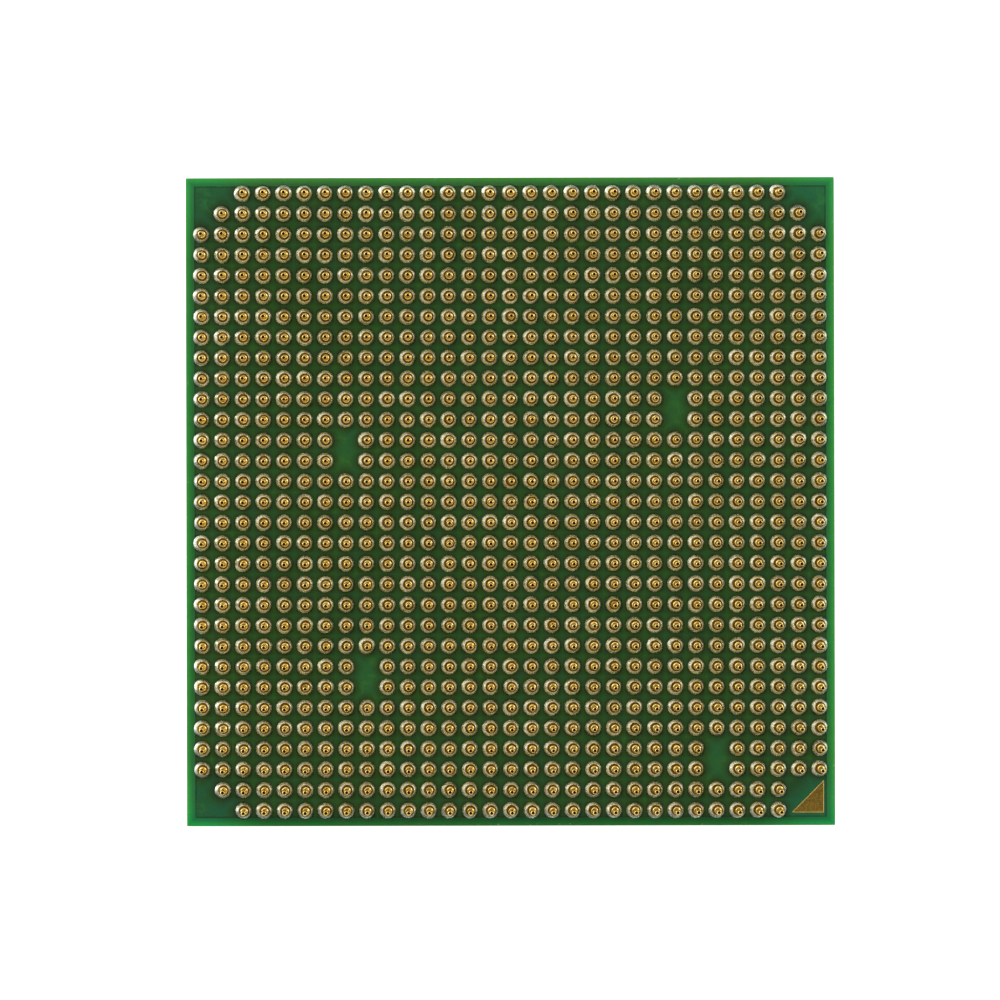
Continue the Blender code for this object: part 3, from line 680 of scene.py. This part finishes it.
def build_mask():
    pinned = set()
    for y, xs in PINS.values():
        row = int(round((y - ALL_Y[0]) / PITCH))
        for x in xs:
            pinned.add((int(round((x - ALL_Y[0]) / PITCH)), row))
    verts, faces, shade_halo, wall = [], [], [], []

    def vert(x, y, z, ring=0.0, side=0.0):
        verts.append((x, y, z))
        shade_halo.append(ring)
        wall.append(side)
        return len(verts) - 1

    lattice = {}

    def grid(ix, iy):
        if (ix, iy) not in lattice:
            x, y = -EDGE + ix * PITCH / STEPS, -EDGE + iy * PITCH / STEPS
            # the point's painted-shade value grows towards the nearest pin
            near = 9.0
            for c in ((ix - 1) // STEPS, ix // STEPS):
                for r in ((iy - 1) // STEPS, iy // STEPS):
                    if (c, r) in pinned:
                        near = min(near, math.hypot(x + EDGE - (c + 0.5) * PITCH, y + EDGE - (r + 0.5) * PITCH))
            lattice[(ix, iy)] = vert(x, y, TOP, min(max((1.12 - near) / 0.58, 0.0), 1.0))
        return lattice[(ix, iy)]

    def cell_loop(ix0, iy0, ix1, iy1):
        loop = [(i, iy0) for i in range(ix0, ix1)]
        loop += [(ix1, j) for j in range(iy0, iy1)]
        loop += [(i, iy1) for i in range(ix1, ix0, -1)]
        loop += [(ix0, j) for j in range(iy1, iy0, -1)]
        return [grid(*p) for p in loop]

    # the four empty cells round the marker are one patch with a triangular opening
    col = int((MARK_LO[0] + EDGE) / PITCH)
    row = int((MARK_LO[1] + EDGE) / PITCH)
    patch = {(c, r) for c in (col, col + 1) for r in (row, row + 1)}
    assert not patch & pinned
    for c in range(GRID):
        for r in range(GRID):
            if (c, r) in patch:
                continue
            loop = cell_loop(c * STEPS, r * STEPS, (c + 1) * STEPS, (r + 1) * STEPS)
            cx, cy = -EDGE + (c + 0.5) * PITCH, -EDGE + (r + 0.5) * PITCH
            if (c, r) not in pinned:
                hub = vert(cx, cy, TOP)
                faces.extend((loop[k], loop[(k + 1) % len(loop)], hub) for k in range(len(loop)))
                continue
            rings = [loop]
            # each ring: radius, drop, painted-shade value, painted shade on the opening's wall
            for radius, drop, ring, side in (
                (OPEN_R + 0.050, 0.0, 0.95, 0.0), (OPEN_R + 0.014, 0.0025, 1.0, 0.15), (OPEN_R, OPEN_DEPTH, 1.0, 1.0),
            ):
                made = []
                for k in loop:
                    dx, dy = verts[k][0] - cx, verts[k][1] - cy
                    away = math.hypot(dx, dy)
                    made.append(vert(cx + dx / away * radius, cy + dy / away * radius, TOP - drop, ring, side))
                rings.append(made)
            for a, b in zip(rings, rings[1:]):
                for k in range(len(a)):
                    n = (k + 1) % len(a)
                    faces.append((a[k], a[n], b[n], b[k]))
            faces.append(tuple(rings[-1]))
    # marker patch
    loop = cell_loop(col * STEPS, row * STEPS, (col + 2) * STEPS, (row + 2) * STEPS)
    hole = marker_triangle(0.022)
    points = [Vector(verts[k][:2]) for k in loop]
    ring = []
    for a, b in zip(hole, hole[1:] + hole[:1]):
        for s in range(8):
            ring.append((a[0] + (b[0] - a[0]) * s / 8, a[1] + (b[1] - a[1]) * s / 8))
    count = len(points)
    points += [Vector(p) for p in ring]
    edges = [(k, (k + 1) % count) for k in range(count)]
    edges += [(count + k, count + (k + 1) % len(ring)) for k in range(len(ring))]
    out_v, _, out_f, orig_v, _, _ = delaunay_2d_cdt(points, edges, [], 0, 1e-7)
    # a little painted shade on the marker opening's rim
    ring_ids = [vert(x, y, TOP, 0.1, 0.1) for x, y in ring]
    where = {}
    for k, sources in enumerate(orig_v):
        source = sources[0]
        where[k] = loop[source] if source < count else ring_ids[source - count]
    inner = hole

    def inside(px, py):
        sign = []
        for (ax_, ay_), (bx_, by_) in zip(inner, inner[1:] + inner[:1]):
            sign.append((bx_ - ax_) * (py - ay_) - (by_ - ay_) * (px - ax_) > 0)
        return all(sign) or not any(sign)

    for f in out_f:
        mx = sum(out_v[k][0] for k in f) / len(f)
        my = sum(out_v[k][1] for k in f) / len(f)
        if not inside(mx, my):
            faces.append([where[k] for k in f])
    # painted shade on the marker opening's wall and floor
    low = [vert(x, y, TOP - OPEN_DEPTH, 0.8, 1.0) for x, y in ring]
    for k in range(len(ring)):
        n = (k + 1) % len(ring)
        faces.append((ring_ids[n], ring_ids[k], low[k], low[n]))
    faces.append(tuple(low))

    # border, rounded lip, side and underside
    last = GRID * STEPS
    loop = cell_loop(0, 0, last, last)
    previous = loop
    for reach, z, nose in (
        (HALF - 0.16, TOP, 0.0), (HALF - 0.030, TOP, 0.002), (HALF - 0.008, TOP - 0.004, 0.005),
        (HALF, TOP - 0.014, 0.008), (HALF, MASK_BOTTOM, 0.010),
    ):
        made = []
        for k in loop:
            x, y = verts[k][0] * reach / EDGE, verts[k][1] * reach / EDGE
            if abs(abs(x) - abs(y)) < 1e-6:
                x -= math.copysign(nose, x)
                y -= math.copysign(nose, y)
            made.append(vert(x, y, z, 0.0, 0.0))
        for k in range(len(loop)):
            n = (k + 1) % len(loop)
            faces.append((made[k], made[n], previous[n], previous[k]))
        previous = made
    faces.append(tuple(reversed(previous)))
    return face_object("pin_side_solder_mask", verts, faces, sharp=30, attrs={"shade_halo": shade_halo, "wall": wall})


mask = build_mask()
wear(mask, MASK)
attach(mask, "root")
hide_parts("solder_mask_pin_side")


# ---------------------------------------------------------------------------
# Pin-one marker: a gold triangle in its opening, with a raised rim carrying a painted highlight
# ---------------------------------------------------------------------------
def build_marker():
    corners = [np.array(p) for p in marker_triangle(0.0)]
    centre = sum(corners) / 3
    verts, faces, rim = [], [], []
    # the rim value sets where the painted highlight lies
    levels = [  # inset from the outline, height below the laminate's face, rim value
        (0.000, -0.0215, 0.0), (0.000, -0.009, 0.9), (0.006, -0.003, 1.0), (0.016, 0.000, 1.0),
        (0.027, -0.003, 0.9), (0.038, -0.012, 0.15), (0.060, -0.0155, 0.0),
    ]
    rings = []
    steps = 14
    for inset, z, value in levels:
        tri = marker_triangle(-inset)
        ring = []
        for a, b in zip(tri, tri[1:] + tri[:1]):
            for s in range(steps):
                ring.append((a[0] + (b[0] - a[0]) * s / steps, a[1] + (b[1] - a[1]) * s / steps))
        ids = []
        for x, y in ring:
            verts.append((x, y, TOP + z))
            rim.append(value)
            ids.append(len(verts) - 1)
        rings.append(ids)
    for a, b in zip(rings, rings[1:]):
        for k in range(len(a)):
            n = (k + 1) % len(a)
            faces.append((a[k], a[n], b[n], b[k]))
    faces.append(tuple(reversed(rings[0])))
    faces.append(tuple(rings[-1]))
    return face_object("pin_one_triangle", verts, faces, sharp=50, attrs={"rim": rim})


marker = build_marker()
wear(marker, MARKER)
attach(marker, "root")
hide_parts("pin_one_marker_pin_side")


# ---------------------------------------------------------------------------
# Heat-spreader lid: pad, step, flange and cavity with soft coined edges
# ---------------------------------------------------------------------------
LID_LO, LID_HI = box_mm("heat_spreader_lid")
co = np.zeros(len(nodes["heat_spreader_lid"].data.vertices) * 3)
nodes["heat_spreader_lid"].data.vertices.foreach_get("co", co)
co = co.reshape(-1, 3) / MM
PAD_HALF = float(co[co[:, 2] < LID_LO[2] + 0.3][:, 0].max())
LID_HALF, LID_TOP = float(LID_HI[0]), float(LID_HI[2])
levels = np.unique(np.round(co[:, 2], 3))
inner = co[(np.abs(co[:, 0]) < PAD_HALF - 1.0) & (np.abs(co[:, 1]) < PAD_HALF - 1.0)]
CEILING = float(np.round(inner[inner[:, 2] > 0.5][:, 2].min(), 3))
CAVITY_HALF = float(np.round(np.abs(co[np.abs(co[:, 2] - CEILING) < 2e-3][:, 0]).max(), 3))
STEP_Z = 1.70


def cut_outline(half, cut, fillet=0.35, arc=5):
    """A square with cut corners, each of its eight corners softened by a small arc."""
    corners = []
    for sx, sy in ((1, -1), (1, 1), (-1, 1), (-1, -1)):
        a, b = (sx * half, sy * (half - cut)), (sx * (half - cut), sy * half)
        corners += [b, a] if sx * sy < 0 else [a, b]
    points = []
    total = len(corners)
    for k, c in enumerate(corners):
        before, after = np.array(corners[k - 1]), np.array(corners[(k + 1) % total])
        c = np.array(c)
        u, v = before - c, after - c
        u, v = u / np.linalg.norm(u), v / np.linalg.norm(v)
        for s in range(arc):
            f = s / (arc - 1)
            a, b = c + u * fillet, c + v * fillet
            points.append(tuple((1 - f) ** 2 * a + 2 * f * (1 - f) * c + f * f * b))
        # evenly spaced points along the straight run to the next corner
        run = after - c
        length = np.linalg.norm(run) - 2 * fillet
        direction = run / np.linalg.norm(run)
        extra = 10 if length > 8 else 2
        for s in range(1, extra):
            points.append(tuple(c + direction * (fillet + length * s / extra)))
    return points


def build_lid():
    rings = []
    # (half side, corner cut, height): from the pad's centre out, up the sides, and into the cavity
    pad_cut, lid_cut, cavity_cut = 2.2, 3.0, 1.6
    stack = [
        (PAD_HALF - 0.9, pad_cut - 0.3, 0.0), (PAD_HALF - 0.16, pad_cut - 0.05, 0.0), (PAD_HALF - 0.075, pad_cut, 0.018),
        (PAD_HALF - 0.018, pad_cut, 0.078), (PAD_HALF, pad_cut, 0.17), (PAD_HALF, pad_cut, STEP_Z - 0.16),
        (PAD_HALF + 0.03, pad_cut, STEP_Z - 0.06), (PAD_HALF + 0.12, pad_cut + 0.03, STEP_Z),
        (LID_HALF - 0.16, lid_cut, STEP_Z), (LID_HALF - 0.05, lid_cut, STEP_Z + 0.03), (LID_HALF, lid_cut, STEP_Z + 0.13),
        (LID_HALF, lid_cut, LID_TOP - 0.12), (LID_HALF - 0.04, lid_cut, LID_TOP - 0.03), (LID_HALF - 0.13, lid_cut, LID_TOP),
        (CAVITY_HALF + 0.10, cavity_cut, LID_TOP), (CAVITY_HALF + 0.02, cavity_cut, LID_TOP - 0.04),
        (CAVITY_HALF, cavity_cut, LID_TOP - 0.12), (CAVITY_HALF, cavity_cut, CEILING + 0.15),
        (CAVITY_HALF - 0.15, cavity_cut, CEILING), (CAVITY_HALF - 0.9, cavity_cut - 0.3, CEILING),
    ]
    verts, faces = [], []
    for half, cut, z in stack:
        ring = []
        for x, y in cut_outline(half, cut):
            verts.append((x, y, z))
            ring.append(len(verts) - 1)
        rings.append(ring)
    for a, b in zip(rings, rings[1:]):
        for k in range(len(a)):
            n = (k + 1) % len(a)
            faces.append((a[k], a[n], b[n], b[k]))
    faces.append(tuple(reversed(rings[0])))
    faces.append(tuple(rings[-1]))
    return face_object("metal_lid", verts, faces, sharp=35)


lid = build_lid()
wear(lid, NICKEL)
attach(lid, "root")
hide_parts("heat_spreader_lid")


# ---------------------------------------------------------------------------
# Adhesive bead: a squeezed ribbon round the flange, open at the vent
# ---------------------------------------------------------------------------
BEAD_LO, BEAD_HI = box_mm("lid_adhesive")


def build_bead():
    outline = np.array(cut_outline(float(BEAD_HI[0]) - 1.45, 2.4, 0.8, 7))
    # resample evenly, starting and ending either side of the vent at the middle of +Y
    closed = np.vstack([outline, outline[:1]])
    lengths = np.concatenate([[0], np.cumsum(np.linalg.norm(np.diff(closed, axis=0), axis=1))])
    dense = np.arange(0, lengths[-1], 0.35)
    path = np.stack([np.interp(dense, lengths, closed[:, k]) for k in range(2)], 1)
    vent = np.where((path[:, 1] > 10) & (np.abs(path[:, 0]) < 1.55))[0]
    path = np.roll(path, -(vent.max() + 1), axis=0)[: len(path) - len(vent)]
    count = len(path)
    step = np.roll(path, -1, 0) - np.roll(path, 1, 0)
    step[0], step[-1] = path[1] - path[0], path[-1] - path[-2]
    step /= np.linalg.norm(step, axis=1)[:, None]
    normal = np.stack([step[:, 1], -step[:, 0]], 1)
    z0, z1 = float(BEAD_LO[2]), float(BEAD_HI[2])
    zc, zh = (z0 + z1) / 2, (z1 - z0) / 2
    section = [(-1.0, -0.35), (-0.94, -1.0), (0.94, -1.0), (1.0, -0.35), (1.0, 0.35), (0.94, 1.0), (-0.94, 1.0), (-1.0, 0.35)]
    s = np.arange(count)
    out_edge = 1.36 + 0.05 * np.sin(s * 0.21) + 0.035 * np.sin(s * 0.53 + 1.0) + random_state.normal(0, 0.008, count)
    in_edge = 1.22 + 0.05 * np.sin(s * 0.17 + 2.0) + 0.04 * np.sin(s * 0.61)
    taper = np.ones(count)
    taper[:3] = taper[-3:][::-1] = (0.75, 0.9, 0.97)
    verts, faces = [], []
    for k in range(count):
        for u, w in section:
            reach = (out_edge[k] if u > 0 else in_edge[k]) * taper[k] * u
            p = path[k] + normal[k] * reach
            verts.append((p[0], p[1], zc + zh * w))
    m = len(section)
    for k in range(count - 1):
        for j in range(m):
            n = (j + 1) % m
            faces.append((k * m + j, k * m + n, (k + 1) * m + n, (k + 1) * m + j))
    faces.append(tuple(reversed(range(m))))
    faces.append(tuple((count - 1) * m + j for j in range(m)))
    return face_object("lid_seal_bead", verts, faces, sharp=50)


bead = build_bead()
wear(bead, SEALANT)
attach(bead, "root")
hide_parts("lid_adhesive")


# ---------------------------------------------------------------------------
# CAD nodes that keep their shape and take a finish
# ---------------------------------------------------------------------------
FINISH = {
    "substrate_core": CORE, "build_up_lid_side": BUILD_UP, "build_up_pin_side": BUILD_UP,
    "copper_plane_pin_side": COPPER, "solder_mask_lid_side": MASK, "pin_one_marker_lid_side": MARKER,
    "silicon_die": SILICON, "thermal_interface": INTERFACE, "solder_bump_layer": BUMPS, "underfill": EPOXY,
}
for name, obj in nodes.items():
    if name.startswith("capacitor_"):
        lo, hi = box_mm(name)
        wear(obj, CAP_X if hi[0] - lo[0] > hi[1] - lo[1] else CAP_Y)
    elif name in FINISH:
        wear(obj, FINISH[name])


# ---------------------------------------------------------------------------
# Stage: pale floor, soft studio surround
# ---------------------------------------------------------------------------
def build_floor():
    size = 4000.0
    obj = face_object(
        "floor",
        [(-size, -size, -0.02), (size, -size, -0.02), (size, size, -0.02), (-size, size, -0.02)],
        [(0, 1, 2, 3)], smooth=False,
    )
    look, t = material("studio_floor")
    diffuse = t.node("ShaderNodeBsdfDiffuse")
    diffuse.inputs["Color"].default_value = (0.90, 0.90, 0.90, 1)
    glow = t.node("ShaderNodeEmission")
    glow.inputs["Color"].default_value = (1, 1, 1, 1)
    glow.inputs["Strength"].default_value = FLOOR_GLOW
    both = t.node("ShaderNodeAddShader")
    out = t.node("ShaderNodeOutputMaterial")
    t.t.links.new(diffuse.outputs[0], both.inputs[0])
    t.t.links.new(glow.outputs[0], both.inputs[1])
    t.t.links.new(both.outputs[0], out.inputs[0])
    wear(obj, look)


FLOOR_GLOW = 0.80
build_floor()


def build_world():
    """A soft surround: an even dome, a broad low light from -X, a weaker one from the far
    side, and a dark patch straight overhead where the camera stands."""
    world = bpy.data.worlds.new("studio")
    bpy.context.scene.world = world
    world.use_nodes = True
    t = Tree(world.node_tree)
    direction = t.node("ShaderNodeTexCoord").outputs["Generated"]
    _, _, up = t.xyz(direction)
    dome = t.step(up, 0.35, 0.88, LOW_DOME, DOME)
    lamps = None
    for (dx, dy, dz), power, strength in LOBES:
        d = Vector((dx, dy, dz)).normalized()
        dot = t.math("MAXIMUM", t.vmath("DOT_PRODUCT", direction, tuple(d)), 0.0)
        one = t.mul(t.math("POWER", dot, power), strength)
        lamps = one if lamps is None else t.add(lamps, one)
    level = t.add(dome, lamps)
    near, far = math.cos(math.radians(ZENITH[0])), math.cos(math.radians(ZENITH[1]))
    tone = t.mix(t.math("DIVIDE", lamps, level), DOME_WARM, STUDIO_WHITE)
    level = t.mul(level, t.step(up, far, near, 1.0, ZENITH[2]))
    paths = t.node("ShaderNodeLightPath")
    shown = t.node("ShaderNodeMix", data_type="FLOAT")
    t.put(shown.inputs[0], paths.outputs["Is Camera Ray"])
    t.put(shown.inputs[2], level)
    t.put(shown.inputs[3], 1.0)
    back = t.node("ShaderNodeBackground")
    t.put(back.inputs["Color"], t.mix(paths.outputs["Is Camera Ray"], t.mix(t.step(up, far, near), tone, CAMERA_DARK), (1.0, 1.0, 1.0)))
    t.put(back.inputs["Strength"], shown.outputs[0])
    out = t.node("ShaderNodeOutputWorld")
    t.t.links.new(back.outputs[0], out.inputs[0])


STUDIO_WHITE = (1.0, 0.995, 0.98)
DOME_WARM = (1.0, 0.985, 0.92)
CAMERA_DARK = (1.0, 0.42, 0.12)
LOW_DOME, DOME = 0.13, 1.08
LOBES = [
    ((-0.91, 0.30, 0.05), 8.0, 4.2),
    ((-0.47, 0.40, 0.79), 40.0, 1.7),
    ((0.66, 0.39, 0.65), 60.0, 3.0),
    ((0.92, 0.28, 0.30), 40.0, 3.4),
    ((-0.10, 0.62, 0.78), 80.0, 1.6),
    ((0.35, -0.80, 0.50), 40.0, 0.12),
]
ZENITH = (25.0, 33.5, 0.020)     # dark inside the first angle, clear beyond the second
build_world()


# ---------------------------------------------------------------------------
# Camera: straight down on the pins, off the package's centre, as in a cropped copy-stand shot
# ---------------------------------------------------------------------------
CAM_X, CAM_Y, CAM_D = -12.0, 5.81, 300.0
FRAME_MM = 61.71
SHIFT_X, SHIFT_Y = 0.1842, -0.0921
ROLL = 0.12
cam_data = bpy.data.cameras.new("camera")
cam = bpy.data.objects.new("camera", cam_data)
bpy.context.scene.collection.objects.link(cam)
cam_data.sensor_width = 36.0
cam_data.lens = 36.0 * CAM_D / FRAME_MM
cam.location = (CAM_X * MM, CAM_Y * MM, (TOP + CAM_D) * MM)
cam.rotation_mode = "QUATERNION"
cam.rotation_quaternion = (
    math.cos(math.radians(-ROLL) / 2), 0.0, 0.0, math.sin(math.radians(-ROLL) / 2))
cam_data.clip_start, cam_data.clip_end = 0.01, 20.0


def shift_only_here(path, value):
    """The lens shift belongs to this station alone: from any other place the camera looks
    straight at the object."""
    curve = cam_data.driver_add(path)
    driver = curve.driver
    driver.type = "SCRIPTED"
    for letter, kind in (("x", "LOC_X"), ("z", "LOC_Z")):
        var = driver.variables.new()
        var.name = letter
        var.type = "TRANSFORMS"
        var.targets[0].id = cam
        var.targets[0].transform_type = kind
        var.targets[0].transform_space = "WORLD_SPACE"
    driver.expression = f"{value} if x < {(CAM_X + 0.5) * MM} and x > {(CAM_X - 0.5) * MM} and z > {CAM_D * 0.9 * MM} else 0"


shift_only_here("shift_x", SHIFT_X)
shift_only_here("shift_y", SHIFT_Y)
bpy.context.scene.camera = cam
bpy.context.scene.view_settings.view_transform = "Standard"
bpy.context.scene.view_settings.look = "None"
